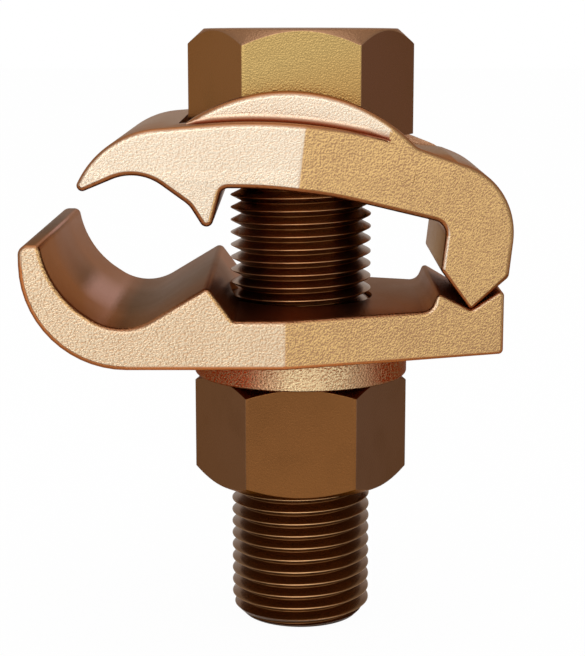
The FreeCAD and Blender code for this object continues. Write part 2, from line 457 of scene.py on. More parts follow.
def ledge_shade_mask(x, y, z):
    """Painted shade: 1 on the strip beside the cheeks' foot, where the cheek shades the ledge, found by its
    height above the arc of the jaw's back.
    """
    centre_x, centre_z = about_fulcrum(*round_centre(BROW, CREST, BACK_TOP, CREST_RADIUS), OPEN_ANGLE)
    above = ((x - centre_x) ** 2 + (z - STAND - centre_z) ** 2) ** 0.5 - CREST_RADIUS
    across = abs(y).rise(CHEEK_HALF - 0.03, CHEEK_HALF) * (1.0 - abs(y).rise(14.9, 16.9))
    along = x.rise(-13.5, -11.0)
    return across * along * above.rise(-0.3, -0.1) * (1.0 - above.rise(0.15, 0.85))


def groove_shading(finish, sizes, x, y, nx, grain):
    """Worked surfaces of the lower jaw: bands along the groove by their slope, which are painted light,
    shade and reflection, and then the deck, which darkens towards the back.
    """
    bands = (
        (0.20, sizes.ridge_shade_colour, 1.0),
        (0.52, sizes.ridge_shade_colour, 0.8),
        (0.63, sizes.groove_shade_colour, 0.6),
        (0.71, sizes.groove_reflection_colour, 1.0),
        (0.81, sizes.groove_reflection_colour, 1.0),
        (0.865, sizes.groove_shade_colour, 0.55),
        (0.93, sizes.groove_shade_colour, 0.95),
        (0.99, sizes.groove_shade_colour, 1.1),
    )
    stops = [(place, rgba(colour, share)) for place, colour, share in bands]
    # Painted light and reflection: the band colour is picked by the surface's slope.
    slope = nx * 0.5 + (grain - 0.5) * 0.07 + 0.5
    groove = finish.node("ValToRGB", {"stops": stops}, {0: slope})
    deck = finish.mix(y.rise(-16.0, 12.0), sizes.deck_colour, sizes.deck_back_colour)
    return finish.mix(x.rise(RIDGE_X - 0.65, RIDGE_X - 0.05), groove, deck)


def cast_finish(name, sizes, upper):
    """Cast bronze: pale blasted sides and darker worked surfaces, with painted light and shade: tan tapered
    sides, copper-brown rims, slope bands in the groove, the boss's highlight and dark sides, the grain's
    shaded sides, a lighter heel and a shaded ledge.

    face is 1 on the sides and falls to 0 over their rims, because it grows with the larger of the
    normal's share across the jaw and its share along the tapered side's normal.
    """
    finish = Finish(name)
    point, x, y, z = finish.place()
    nx, ny, nz = finish.facing()
    lean = math.atan(TAPER_SLOPE)
    level = abs(ny).most(nx * math.sin(lean) + abs(ny) * math.cos(lean)) * (y * ny).rise(0.0, 0.5)
    below = (-nz).rise(-0.02, 0.02)
    face = level.rise(0.965, 0.996) * below + level.rise(0.72, 0.99) * (1.0 - below)
    taper = nx.rise(0.15, 0.25)
    foot = STAND + UNDERSIDE_Z
    boss = (1.0 - z.rise(foot - 0.3, foot)) * (1.0 - abs(nz).rise(0.5, 0.9))
    plain = (1.0 - level.rise(0.0, 0.3)) * (1.0 - below * 0.7)
    coarse = finish.noise(point, 0.25)
    grain = finish.noise(point, sizes.grain_scale, 1.0)
    shifted = finish.node("VectorMath", {"operation": "ADD"}, {0: point, 1: (0.07, 0.0, -0.09)})
    emboss = grain - finish.noise(shifted, sizes.grain_scale, 1.0)
    if upper:
        # Painted shade: the ledge beside the cheeks' foot takes the dark crease colour, as the cheek's
        # shade.
        ledge = ledge_shade_mask(x, y, z)
        # Painted light: worked surfaces that face -X get the lighter heel colour.
        worked = finish.mix((-nx).rise(0.55, 0.95), sizes.back_colour, sizes.heel_light_colour)
        worked = finish.mix(ledge, worked, sizes.crease_shade_colour)
        face = face * (1.0 - ledge)
        plain = plain.most(ledge)
        side_tone = sizes.upper_side_colour
        low_rim_shade_share = 0.55
        grain_shade_share = 1.0
        calm = 1.0 - z.rise(STAND + 23.5, STAND + 24.5) * 0.5
    else:
        worked = groove_shading(finish, sizes, x, y, nx, grain)
        side_tone = sizes.lower_side_colour
        low_rim_shade_share = 1.0
        grain_shade_share = 1.4
        calm = 1.0
    # Painted shade: the rounded rims take a copper-brown shade colour, another one where they face down.
    edge = finish.mix(below, sizes.rim_shade_colour, rgba(sizes.low_rim_shade_colour, low_rim_shade_share))
    # Painted shade: the tapered sides, picked by their facing, take a tan copy of the blasted skin's
    # colour.
    side = finish.mix(taper, side_tone, sizes.taper_shade_colour)
    skin = finish.mix(face, finish.mix(plain, edge, worked), side)
    # Painted highlight and shade: the boss is light on its front and back and dark on its sides, as the
    # front light's reflection.
    across = abs(nx - 0.12).rise(0.22, 0.62)
    skin = finish.mix(boss, skin, finish.mix(across, sizes.boss_highlight_colour, sizes.boss_side_shade_colour))
    grainy = face.most(boss)
    # Painted shade: the grain's sides turned away from a light at the upper left get the shade colour; the
    # coarse noise adds random tone.
    grain_shade = (0.5 - emboss * 3.2 + (coarse - 0.5) * 0.3).held()
    share = (grainy * 0.75 + 0.25) * (taper * face * 0.7 + grain_shade_share) * sizes.grain_contrast
    skin = finish.mix((grain_shade * share).held(), skin, sizes.grain_shade_colour)
    rough = 0.36 * face + (1.0 - face) * 0.30 + (coarse - 0.5) * 0.1
    height = grain * (grainy * 0.75 + boss * 0.6 + 0.25) * calm
    normal = finish.bump(height, sizes.grain_depth)
    return finish.metal(skin, rough, {"Normal": normal, "Specular Tint": WARM_TINT})


def bolt_finish(name, face_shadings, heights, grain_depth):
    """Machined bronze with painted light and shade: each face takes its own lit or shaded tone; a fine
    grain and faint clouds.

    The painted shadings are those of the front, its foot, the left and the right faces and the slope. The
    front turns from its foot's painted shading to its own over the heights, a painted gradient.
    """
    front, foot, left, right, slope = face_shadings
    finish = Finish(name)
    point, x, _, z = finish.place()
    nx, _, nz = finish.facing()
    # Painted light and shade: each face of the same bronze takes its own lit or shaded tone by its facing,
    # and the front a painted gradient up from its foot.
    tone = finish.mix((z - x * 0.3).rise(*heights), foot, front)
    tone = finish.mix((-nx).rise(0.3, 0.7), tone, left)
    tone = finish.mix(nx.rise(0.3, 0.7), tone, right)
    tone = finish.mix(nz.rise(0.2, 0.4), tone, slope)
    grain = finish.noise(point, 5.5, 1.0)
    cloud = finish.noise(point, 0.18)
    tone = finish.mix((0.9 - cloud.rise(0.2, 0.8) - grain * 0.8).held() * 0.35, tone, rgba(front, 0.35))
    normal = finish.bump(grain, grain_depth)
    return finish.metal(tone, (cloud - 0.5) * 0.1 + 0.3, {"Normal": normal, "Specular Tint": WARM_TINT})


def thread_finish(name, sizes):
    """Screw thread, brown on the flanks, with painted shade in the roots and painted light on the flanks
    between the jaws.

    The crests carry a painted highlight, brightest along the middle of the front.
    """
    finish = Finish(name)
    point, x, y, z = finish.place()
    reach = (x * x + y * y) ** 0.5
    # Painted light on the flanks between the jaws and painted shade in the roots.
    flank = finish.mix(z.rise(STAND, STAND + 6.0), sizes.flank_colour, sizes.upper_flank_light_colour)
    tone = finish.mix(reach.rise(6.75, 7.5), sizes.root_shade_colour, flank)
    # Painted highlight on the crests, strongest along the middle of the front.
    crest = reach.rise(7.76, 7.9) * (1.0 - abs(x).rise(0.8, 4.5) * 0.75)
    tone = finish.mix(crest, tone, sizes.crest_highlight_colour)
    return finish.metal(tone, (finish.noise(point, 0.5) - 0.5) * 0.08 + 0.25)


# Sizes and colours that a user would change


def tint(name, description, value):
    """A colour that a user can change."""
    return bpy.props.FloatVectorProperty(
        name=name, description=description, subtype="COLOR", size=3, default=value
    )


def amount(name, description, value, **limits):
    """A number that a user can change, with its limits or its unit."""
    return bpy.props.FloatProperty(name=name, description=description, default=value, **limits)


class CastingSizes(bpy.types.PropertyGroup):
    """Both castings."""

    rim_round: amount("Rim round", "Radius of the edges round the sides, in mm", 0.58, min=0.1, max=0.8)
    cheek_round: amount("Cheek round", "Radius of the cheeks' upper edges, in mm", 0.6, min=0.1, max=0.8)
    cheek_foot: amount(
        "Cheek foot", "Radius of the hollow at the cheeks' foot, in mm", 0.8, min=0.1, max=0.8
    )
    upper_side_colour: tint("Upper side", "Blasted sides of the upper jaw", (0.88, 0.765, 0.605))
    lower_side_colour: tint("Lower side", "Blasted sides of the lower jaw", (0.86, 0.69, 0.48))
    # Painted shade of the blasted skin on the tapered sides.
    taper_shade_colour: tint("Taper", "Tapered sides", (0.94, 0.61, 0.25))
    # Painted shade and reflection in the groove's bands, chosen by slope.
    groove_shade_colour: tint("Groove", "Darker bands along the groove", (0.44, 0.215, 0.135))
    ridge_shade_colour: tint("Ridge", "Left slope of the ridge", (0.13, 0.088, 0.062))
    groove_reflection_colour: tint("Bloom", "Pinkish band along the groove", (0.92, 0.60, 0.56))
    deck_back_colour: tint("Deck back", "Back of the deck", (0.15, 0.084, 0.055))
    deck_colour: tint("Deck", "Front of the deck and the ridge's slope", (0.30, 0.09, 0.045))
    back_colour: tint("Back", "Back of the upper jaw and its hollows", (0.54, 0.39, 0.27))
    # Painted light on the worked slopes that face -X.
    heel_light_colour: tint("Heel", "Inner slope of the hook's heel", (0.90, 0.72, 0.30))
    # Painted shade on the ledge beside the cheeks' foot.
    crease_shade_colour: tint("Crease", "Ledge beside the cheeks' foot", (0.26, 0.055, 0.025))
    # Painted shade on the rounded rims, with another colour on those that face down.
    rim_shade_colour: tint("Upper rims", "Rounded edges that face up", (0.55, 0.24, 0.11))
    low_rim_shade_colour: tint("Lower rims", "Rounded edges that face down", (0.60, 0.19, 0.055))
    # Painted shade on the grain's sides that turn from the light.
    grain_shade_colour: tint("Pits", "Dark sides of the cast grain", (0.43, 0.24, 0.12))
    # Painted highlight on the boss's front and back, painted shade on its sides.
    boss_highlight_colour: tint("Boss", "Front and back of the round boss", (1.0, 0.78, 0.45))
    boss_side_shade_colour: tint("Boss sides", "Sides of the round boss", (0.38, 0.03, 0.0))
    grain_scale: amount("Grain scale", "Waves of the cast grain in a millimetre", 4.6, min=0.5, max=10.0)
    grain_depth: amount("Grain depth", "Depth of the cast grain, in mm", 0.12, min=0.0, max=0.5)
    grain_contrast: amount(
        "Grain contrast", "Share of the pit colour in the grain's dark sides", 0.58, min=0.0, max=1.0
    )


class BoltSizes(bpy.types.PropertyGroup):
    """Bolt and nut."""

    pitch: amount("Pitch", "Rise of the thread in one turn, in mm", 25.4 / 18, min=0.5, max=4.0)
    crest_radius: amount("Crest radius", "Outer radius of the thread, in mm", 7.9375)
    root_radius: amount("Root radius", "Inner radius of the thread, in mm", 6.74)
    start: amount("Thread start", "Height of a crest at +X over the nut's seat, in mm", 18.12)
    head_flats: amount("Head across flats", "Width of the head between flats, in mm", HEAD_FLATS)
    nut_flats: amount("Nut across flats", "Width of the nut between flats, in mm", 21.0)
    # Painted light and shade: lit and shaded tones of one bronze for each face of the head and the nut.
    head_front_shading: tint("Head front", "Front of the bolt's head", (0.41, 0.275, 0.10))
    head_foot_shading: tint("Head foot", "Lower part of the head's front", (0.37, 0.205, 0.065))
    head_left_shading: tint("Head left", "Left faces of the bolt's head", (0.44, 0.205, 0.08))
    head_right_shading: tint("Head right", "Right faces of the bolt's head", (0.28, 0.13, 0.075))
    head_slope_shading: tint("Head top", "Chamfer and top of the head", (0.46, 0.255, 0.145))
    nut_front_shading: tint("Nut front", "Front of the nut", (0.19, 0.077, 0.024))
    nut_foot_shading: tint("Nut foot", "Lower part of the nut's front", (0.23, 0.092, 0.027))
    nut_left_shading: tint("Nut left", "Left faces of the nut", (0.29, 0.145, 0.075))
    nut_right_shading: tint("Nut right", "Right faces of the nut", (0.245, 0.13, 0.078))
    nut_slope_shading: tint("Nut chamfer", "Upper chamfer of the nut", (0.10, 0.03, 0.01))
    # Painted highlight on the thread's crests, painted light on the upper flanks, painted shade in the
    # roots.
    crest_highlight_colour: tint("Crest", "Crests of the thread", (0.75, 0.45, 0.22))
    upper_flank_light_colour: tint("Upper flank", "Flanks between the jaws", (0.31, 0.17, 0.085))
    flank_colour: tint("Flank", "Flanks of the thread", (0.20, 0.092, 0.032))
    root_shade_colour: tint("Root", "Roots of the thread", (0.18, 0.08, 0.028))


class StudioSizes(bpy.types.PropertyGroup):
    """Floor, lights and camera."""

    floor_colour: tint("Floor colour", "Pale floor", (0.93, 0.93, 0.93))
    key_power: amount("Key light", "Power of the front light", 0.9, unit="POWER")
    top_power: amount("Top light", "Power of the light above", 0.55, unit="POWER")
    lens: amount("Lens", "Focal length of the camera, in mm", 94.133)


# Pieces


def casting(name, corners, samples, bend_x, rim):
    """A jaw's body, whose outline has extra points close to the bend, and that outline."""
    splits = [bend_x + offset for offset in (-0.22, -0.07, 0.07, 0.22)]
    outline = cross_at(rounded(corners, samples), splits)
    body = carried(outline, lambda x: plan_half(x, bend_x), rim, splits)
    return new_piece(name, *body), outline


def boss_profile():
    """Profile (r, z) of the boss: a rounded edge, a straight wall, a hollow foot and a buried end."""
    radius = 12.1
    edge = 0.3
    foot = 0.4
    overlap = 0.02
    t = np.linspace(0, math.pi / 2, 7)
    low = np.stack([radius - edge + edge * np.sin(t), edge - edge * np.cos(t)], 1)
    wide = radius + foot
    high = np.stack([wide - foot * np.cos(t), UNDERSIDE_Z + overlap - foot + foot * np.sin(t)], 1)
    return np.concatenate([low, high, [[wide, UNDERSIDE_Z + 2.0]]])


class CONNECTOR_OT_lower_jaw(bpy.types.Operator):
    """Builds the lower jaw with its groove, ridge, deck, fulcrum seat and boss"""

    bl_idname = "connector.lower_jaw"
    bl_label = "Lower jaw"

    def execute(self, context):
        sizes = context.scene.connector_casting
        hole_radius = 8.12
        seat_radius = 0.45
        flank = math.radians(28.5)
        seat_z = FULCRUM[1] - seat_radius / math.cos(flank)
        seat_left_x = 14.75
        right_x = 22.2
        left_x = -29.42
        lip_z = 16.75
        corners = [
            (right_x, UNDERSIDE_Z, 0.5),
            (right_x, seat_z + (right_x - FULCRUM[0]) * math.tan(flank), 0.5),
            (FULCRUM[0], seat_z, seat_radius),
            (seat_left_x, seat_z + (FULCRUM[0] - seat_left_x) * math.tan(flank), 0.45),
            (13.9, DECK_Z, 1.3),
            (-7.1, DECK_Z, 0.6),
            (RIDGE_X, 12.4, 0.7),
            (-18.85, 6.93, 5.85),
            (-26.14, 11.78, 10.4),
            (-27.1, lip_z, 0.75),
            (left_x, lip_z, 1.1),
            (left_x, UNDERSIDE_Z, 11.1),
        ]
        jaw, _ = casting("lower_jaw_casting", corners, 15, LOWER_BEND_X, sizes.rim_round)
        combine(jaw, new_piece("boss", *revolved(boss_profile())), "UNION")
        combine(jaw, new_piece("hole", *revolved([(hole_radius, -2.0), (hole_radius, 20.0)])), "DIFFERENCE")
        shade(jaw)
        record_facing(jaw)
        dress(jaw, cast_finish("Cast bronze, lower jaw", sizes, False))
        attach(jaw, "lower_jaw")
        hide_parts("lower_jaw")
        return {"FINISHED"}


class CONNECTOR_OT_upper_jaw(bpy.types.Operator):
    """Builds the upper jaw with its beak, tooth, hook, toe, cheeks, seat channel and slot"""

    bl_idname = "connector.upper_jaw"
    bl_label = "Upper jaw"

    def execute(self, context):
        sizes = context.scene.connector_casting
        left, right = math.radians(46.5), math.radians(43.8)
        toe_radius = 0.4
        toe_z = FULCRUM[1] - toe_radius / math.cos((left + right) / 2)
        heel_x = 14.6
        corners = [
            (FULCRUM[0], toe_z, toe_radius),
            (BACK_TOP[0], toe_z + (BACK_TOP[0] - FULCRUM[0]) * math.tan(right), 0.8),
            (*BACK_TOP, 8.2),
            (*CREST, CREST_RADIUS),
            (*BROW, 9.9),
            (-24.91, 17.12, 0.58),
            (-18.26, 20.74, 5.2),
            (-12.66, 17.53, 3.0),
            (-10.3, 14.52, 0.7),
            (-9.52, 19.64, 0.9),
            (-1.64, 20.5, 48.0),
            (14.62, 17.85, 1.6),
            (heel_x, toe_z + (FULCRUM[0] - heel_x) * math.tan(left), 0.6),
        ]
        jaw, outline = casting("upper_jaw_casting", corners, 19, UPPER_BEND_X, sizes.rim_round)
        proud = 0.01
        meet = UPPER_BEND_X + (HALF_WIDTH + proud - CHEEK_HALF) / TAPER_SLOPE

        def wall(x):
            """Half the distance between the cheeks' outer sides, which follow the taper from meet on."""
            return np.minimum(CHEEK_HALF, plan_half(x, UPPER_BEND_X) + proud)

        dome = cross_at(cheek_outline(), [meet])
        combine(jaw, new_piece("cheeks", *carried(dome, wall, sizes.cheek_round, [meet])), "UNION")
        for way in (-1, 1):
            foot = cheek_foot_shape(outline, sizes.cheek_foot, meet, way)
            combine(jaw, new_piece("cheek_foot", *foot), "UNION")
        combine(jaw, new_piece("channel", *channel_shape()), "DIFFERENCE")
        combine(jaw, new_piece("slot", *slot_shape()), "DIFFERENCE")
        open_up(jaw.data)
        shade(jaw)
        record_facing(jaw, OPEN_ANGLE)
        dress(jaw, cast_finish("Cast bronze, upper jaw", sizes, True))
        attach(jaw, "upper_jaw")
        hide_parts("upper_jaw")
        return {"FINISHED"}


def round_centre(before, corner, after, radius):
    """Centre of the circle that touches both straight runs at a corner.

    It lies along their bisector, at the radius over the sine of half the angle between them.
    """
    one = np.subtract(before, corner) / np.linalg.norm(np.subtract(before, corner))
    two = np.subtract(after, corner) / np.linalg.norm(np.subtract(after, corner))
    half = 0.5 * math.acos(float(one @ two))
    middle = (one + two) / np.linalg.norm(one + two)
    return [float(value) for value in np.add(corner, middle * radius / math.sin(half))]


def cheek_outline():
    """Outline of the cheeks: a dome arc, a hollow foot tangent to it and to the back, and a buried base.

    The hollow's centre lies its radius above the back's line and both radii from the dome's centre.
    """
    centre, back, crest = np.array(CHEEK_CENTRE), np.array(BACK_TOP), np.array(CREST)
    radius, foot = CHEEK_RADIUS, 2.0
    along = (back - crest) / np.linalg.norm(back - crest)
    up = np.array([-along[1], along[0]])
    reach = radius + foot
    rise = (back - centre) @ up + foot
    hollow = centre + up * rise + along * math.sqrt(reach**2 - rise**2)
    leave = centre + (hollow - centre) * (radius / reach)
    land = hollow - up * foot
    buried = 21.6
    left_x = centre[0] - 0.75 * radius
    left_z = centre[1] + math.sqrt(radius**2 - (left_x - centre[0]) ** 2)
    first = math.atan2(leave[1] - centre[1], leave[0] - centre[0])
    last = math.atan2(left_z - centre[1], left_x - centre[0])
    a = np.linspace(first, last, 61)[1:]
    spoke = spokes(a)
    start = math.atan2(land[1] - hollow[1], land[0] - hollow[0])
    end = math.atan2(leave[1] - hollow[1], leave[0] - hollow[0])
    b = np.linspace(start, start + ((end - start + math.pi) % (2 * math.pi) - math.pi), 9)
    hollow_spoke = spokes(b)
    base = np.array([[left_x, buried], [land[0], buried]])
    corner = math.sqrt(0.5) * np.array([[-1, -1], [1, -1]])
    points = np.concatenate([base, hollow + foot * hollow_spoke, centre + radius * spoke])
    normals = np.concatenate([corner, -hollow_spoke, spoke])
    return np.concatenate([points, normals, np.full((len(points), 1), FREE_RIM)], 1)


def cheek_foot_shape(outline, radius, meet, way):
    """Strip that fills the corner between a cheek's side and the ledge with a quarter circle's hollow.

    At each station x, the ring goes y = way * (CHEEK_HALF + u) and a height v along the back's normal,
    with u = r + q * cos b and v = r + q * sin b for b from 180 to 270 degrees, closed by a corner buried
    in the metal. r gets smaller where the cheek is low or the ledge is narrow.
    """
    upper = outline[outline[:, 3] > 0.5]
    upper = upper[np.argsort(upper[:, 0])]

    def tall(x):
        """Height of the cheeks' dome over the jaw's back."""
        dome = CHEEK_CENTRE[1] + np.sqrt(CHEEK_RADIUS**2 - (x - CHEEK_CENTRE[0]) ** 2)
        return dome - np.interp(x, upper[:, 0], upper[:, 1])

    least = 0.1
    x = np.linspace(CHEEK_CENTRE[0] - 0.74 * CHEEK_RADIUS, meet, 400)
    x = np.linspace(x[tall(x) > least][0], meet - least, 60)
    z, nx, nz = (np.interp(x, upper[:, 0], upper[:, k]) for k in (1, 2, 3))
    ledge = plan_half(x, UPPER_BEND_X) - CHEEK_HALF
    r = np.minimum(radius, np.minimum(0.5 * tall(x), 0.8 * ledge))[:, None]
    b = np.radians(np.linspace(180, 270, 9))[None, :]
    overlap = 0.004
    q = r + overlap
    buried = np.full_like(r, -0.15)
    u = np.concatenate([r + q * np.cos(b), r, buried, buried], 1)
    v = np.concatenate([r + q * np.sin(b), buried, buried, r], 1)
    x, z, nx, nz = (row[:, None] for row in (x, z, nx, nz))
    grid = np.stack([x + nx * v, way * (CHEEK_HALF + u), z + nz * v], 2)
    return closed_tube(grid[:, ::-way])


def channel_shape():
    """Prism between the cheeks: its floor is the arched seat with a straight run-off on each side."""
    crown = np.array([1.24, 25.07])
    radius = 25.0
    margin = 0.3
    above = 80.0
    side_gap = 0.22
    end_gap = 0.25
    left = math.radians(OPEN_ANGLE + margin)
    right = math.radians(margin + CLOSING_ANGLE - OPEN_ANGLE)
    corner = HEAD_FLATS / 2 / math.cos(math.radians(30))
    end_x = about_fulcrum(-corner, HEAD_SEAT_Z + HEAD_HEIGHT / 4, -OPEN_ANGLE)[0] - end_gap
    a = np.linspace(-left, right, 41)
    floor = crown + radius * np.stack([np.sin(a), np.cos(a) - 1], 1)
    out_x = FULCRUM[0]
    out_z = floor[-1, 1] - (out_x - floor[-1, 0]) * math.tan(right)
    start_z = floor[0, 1] - (floor[0, 0] - end_x) * math.tan(left)
    ring = np.concatenate([[[end_x, start_z]], floor, [[out_x, out_z], [out_x, above], [end_x, above]]])
    return prism(ring, HEAD_FLATS / 2 + side_gap)


def prism(ring, half):
    """Straight prism whose outline lies in the XZ plane and whose ends are y = -half and y = half."""
    count = len(ring)
    front = np.stack([ring[:, 0], np.full(count, -half), ring[:, 1]], 1)
    back = front * np.array([1, -1, 1])
    i = np.arange(count)
    j = (i + 1) % count
    quads = np.stack([i, i + count, j + count, j], 1).tolist()
    quads.append(i.tolist())
    quads.append((i[::-1] + count).tolist())
    return np.concatenate([front, back]), quads


def slot_shape():
    """Hull of the bolt's hole at the open and the closed angle.

    A ring at each end has its left half round one place of the axis and its right half round the
    other, and is wider along X by 1 / cos of the angle at which the axis leans.
    """
    radius = 8.3975
    wide = radius / math.cos(math.radians(OPEN_ANGLE))
    a = np.linspace(0, 2 * math.pi, SEGMENTS, endpoint=False)
    pick = np.cos(a) > 0
    rings = []
    for z in (DECK_Z, 80.67):
        fore = about_fulcrum(0, z, CLOSING_ANGLE - OPEN_ANGLE)
        aft = about_fulcrum(0, z, -OPEN_ANGLE)
        right, left = (fore, aft) if fore[0] > aft[0] else (aft, fore)
        x = np.where(pick, right[0], left[0]) + wide * np.cos(a)
        rings.append(np.stack([x, radius * np.sin(a), np.where(pick, right[1], left[1])], 1))
    return closed_tube(np.stack(rings))


def hexagon_radius(angle, flats, rounding):
    """Distance from the axis to a hexagon with rounded corners.

    It is the flat's distance / cos of the angle from its middle, and near a corner the far crossing
    of a circle of the rounding's radius.
    """
    half = math.radians(30)
    from_flat = angle % (2 * half) - half
    straight = flats / 2 / np.cos(from_flat)
    from_corner = (angle + half) % (2 * half) - half
    centre = (flats / 2 - rounding) / math.cos(half)
    inside = np.maximum(rounding**2 - (centre * np.sin(from_corner)) ** 2, 0)
    curved = centre * np.cos(from_corner) + np.sqrt(inside)
    touch = math.atan2(rounding * math.sin(half), centre + rounding * math.cos(half))
    return np.where(np.abs(from_corner) < touch, curved, straight)


def hexagon_angles():
    """Angles round a hexagon, close together at its corners and spread over its flats."""
    near = np.array([0, 0.25, 0.5, 0.75, 1.0, 1.25, 1.8, 3, 5, 8, 12, 16, 20, 25, 30])
    sector = np.concatenate([near, 60 - near[::-1][1:-1]])
    return np.radians((sector[None, :] + 60 * np.arange(6)[:, None]).ravel())


def hexagon_body(flats, low, high, bore=None):
    """Hexagonal body chamfered by a cone at either end.

    Each end is its height, the radius of its plane face and the chamfer's angle. Each ring has radius
    min(hexagon(a), r) and height end - max(r - face, 0) * tan(chamfer), so that the cone's cut with
    the flats gives their arched edges; two rings beside each edge soften it.
    """
    rounding = 0.15
    soft = 0.09
    a = hexagon_angles()
    edge = hexagon_radius(a, flats, rounding)

    def ring(radius, height):
        """The points round one ring."""
        return np.stack([radius * np.cos(a), radius * np.sin(a), np.broadcast_to(height, a.shape)], 1)

    def cone(end, face, angle, way):
        """Rings from the plane face of one end out over its chamfer to the flats."""
        slope = math.tan(math.radians(angle))
        limit = np.minimum(face, edge)
        reach = edge - limit
        start = np.minimum(soft, 0.5 * reach)
        drop = reach * slope
        part = np.minimum(soft, 0.4 * reach)
        return [
            ring(limit - soft, end),
            ring(limit - soft * 0.3, end - way * soft * 0.08 * slope),
            ring(limit + start, end - way * start * slope),
            ring(edge - part, end - way * (drop - part * slope)),
            ring(edge - part * 0.12, end - way * (drop + part * 0.12)),
            ring(edge, end - way * (drop + soft)),
        ]

    rings = cone(*low, -1) + cone(*high, 1)[::-1]
    if bore is None:
        return closed_tube(np.stack(rings))
    entry = 0.5
    rings = [ring(bore, low[0] + entry), ring(bore + entry, low[0])] + rings
    rings += [ring(bore + entry, high[0]), ring(bore, high[0] - entry)]
    count = len(a)
    here, ahead = ring_grid(len(rings) + 1, count)
    quads = np.stack([here, ahead, (ahead + count) % here.size, (here + count) % here.size], 2)
    return np.concatenate(rings), quads.reshape(-1, 4).tolist()


class CONNECTOR_OT_bolt(bpy.types.Operator):
    """Builds the bolt's hexagonal head and its threaded shank with a chamfered end"""

    bl_idname = "connector.bolt"
    bl_label = "Bolt"

    def execute(self, context):
        sizes = context.scene.connector_bolt
        underside = (HEAD_SEAT_Z, 10.85, 1.0)
        top = (HEAD_SEAT_Z + HEAD_HEIGHT, 10.77, 42.4)
        head = new_piece("bolt_head", *hexagon_body(sizes.head_flats, underside, top))
        shade(head, 40.0)
        record_facing(head)
        # Painted light and shade for the head's faces.
        face_shadings = [sizes.head_front_shading, sizes.head_foot_shading, sizes.head_left_shading]
        face_shadings += [sizes.head_right_shading, sizes.head_slope_shading]
        heights = (STAND + HEAD_SEAT_Z + 1.0, STAND + HEAD_SEAT_Z + 9.0)
        dress(head, bolt_finish("Bronze, bolt head", face_shadings, heights, 0.045))
        shank = new_piece("bolt_shank", *thread_shape(sizes))
        end_radius = 6.64
        chamfer = 3.0
        wide = end_radius + chamfer
        profile = [(end_radius, -STAND), (wide, chamfer - STAND), (wide, HEAD_SEAT_Z + 1.0)]
        combine(shank, new_piece("end", *revolved(profile)), "INTERSECT")
        shade(shank, 75.0, math.inf)
        dress(shank, thread_finish("Bronze, thread", sizes))
        for piece in (head, shank):
            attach(piece, "bolt")
            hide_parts("bolt")
        return {"FINISHED"}


def thread_shape(sizes):
    """Screw thread: row v of turn n lies at z = start + pitch * (n + v + a / 360) with radius r(v).

    r falls straight from the crest to the root and back, with a small round on each. The last column
    joins the first one, a pitch higher. A fan from a point on the axis closes each end, and both
    ends are cut off later.
    """
    v = np.array([-0.045, -0.02, 0.02, 0.045, 0.25, 0.44, 0.475, 0.525, 0.56, 0.75])
    crest, root = sizes.crest_radius, sizes.root_radius
    apart = np.abs((v + 0.5) % 1 - 0.5)
    ease = 0.05
    places = [0, 0.02, 0.045, 0.44, 0.475, 0.5]
    r = np.interp(apart, places, [crest, crest, crest - ease, root + ease, root, root])
    low, high = -STAND - 3.0, HEAD_SEAT_Z + 2.5
    first = math.floor((low - sizes.start) / sizes.pitch) - 1
    turns = np.arange(first, math.ceil((high - sizes.start) / sizes.pitch))
    lift, segments, rows = len(v), 128, len(turns) * len(v)
    z = (sizes.start + sizes.pitch * (turns[:, None] + v[None, :])).ravel()[:, None]
    radius = np.tile(r, len(turns))[:, None]
    a = np.linspace(0, 2 * math.pi, segments, endpoint=False)[None, :]
    grid = np.stack([radius * np.cos(a), radius * np.sin(a), z + sizes.pitch * a / (2 * math.pi)], 2)
    index = np.arange(rows * segments).reshape(rows, segments)
    inner = np.stack([index[:-1, :-1], index[:-1, 1:], index[1:, 1:], index[1:, :-1]], 2).reshape(-1, 4)
    near, far = index[: rows - lift, -1], index[lift:, 0]
    seam = np.stack([near[:-1], far[:-1], far[1:], near[1:]], 1)
    low_ring = np.concatenate([index[0, :], index[: lift + 1, 0][::-1]])[:-1]
    high_ring = np.concatenate([index[-1, :], index[rows - lift - 1 :, -1][::-1][1:]])
    centres = [[0, 0, grid[0, 0, 2]], [0, 0, grid[-1, 0, 2] + sizes.pitch]]
    points = np.concatenate([grid.reshape(-1, 3), centres])
    faces = inner.tolist() + seam.tolist()
    for ring, centre in ((low_ring[::-1], rows * segments), (high_ring, rows * segments + 1)):
        faces += np.stack([np.full_like(ring, centre), ring, np.roll(ring, -1)], 1).tolist()
    return points, faces


class CONNECTOR_OT_nut(bpy.types.Operator):
    """Builds the hexagonal nut, chamfered on both faces"""

    bl_idname = "connector.nut"
    bl_label = "Nut"

    def execute(self, context):
        sizes = context.scene.connector_bolt
        chamfer = (10.3, 31.5)
        bore_radius = 8.0
        body = hexagon_body(sizes.nut_flats, (-NUT_HEIGHT, *chamfer), (0.0, *chamfer), bore_radius)
        nut = new_piece("hex_nut", *body)
        shade(nut, 40.0)
        record_facing(nut)
        # Painted light and shade for the nut's faces, painted shade on its chamfer.
        face_shadings = [sizes.nut_front_shading, sizes.nut_foot_shading, sizes.nut_left_shading]
        face_shadings += [sizes.nut_right_shading, sizes.nut_slope_shading]
        dress(nut, bolt_finish("Bronze, nut", face_shadings, (STAND - NUT_HEIGHT, STAND), 0.03))
        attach(nut, "nut")
        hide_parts("nut")
        return {"FINISHED"}


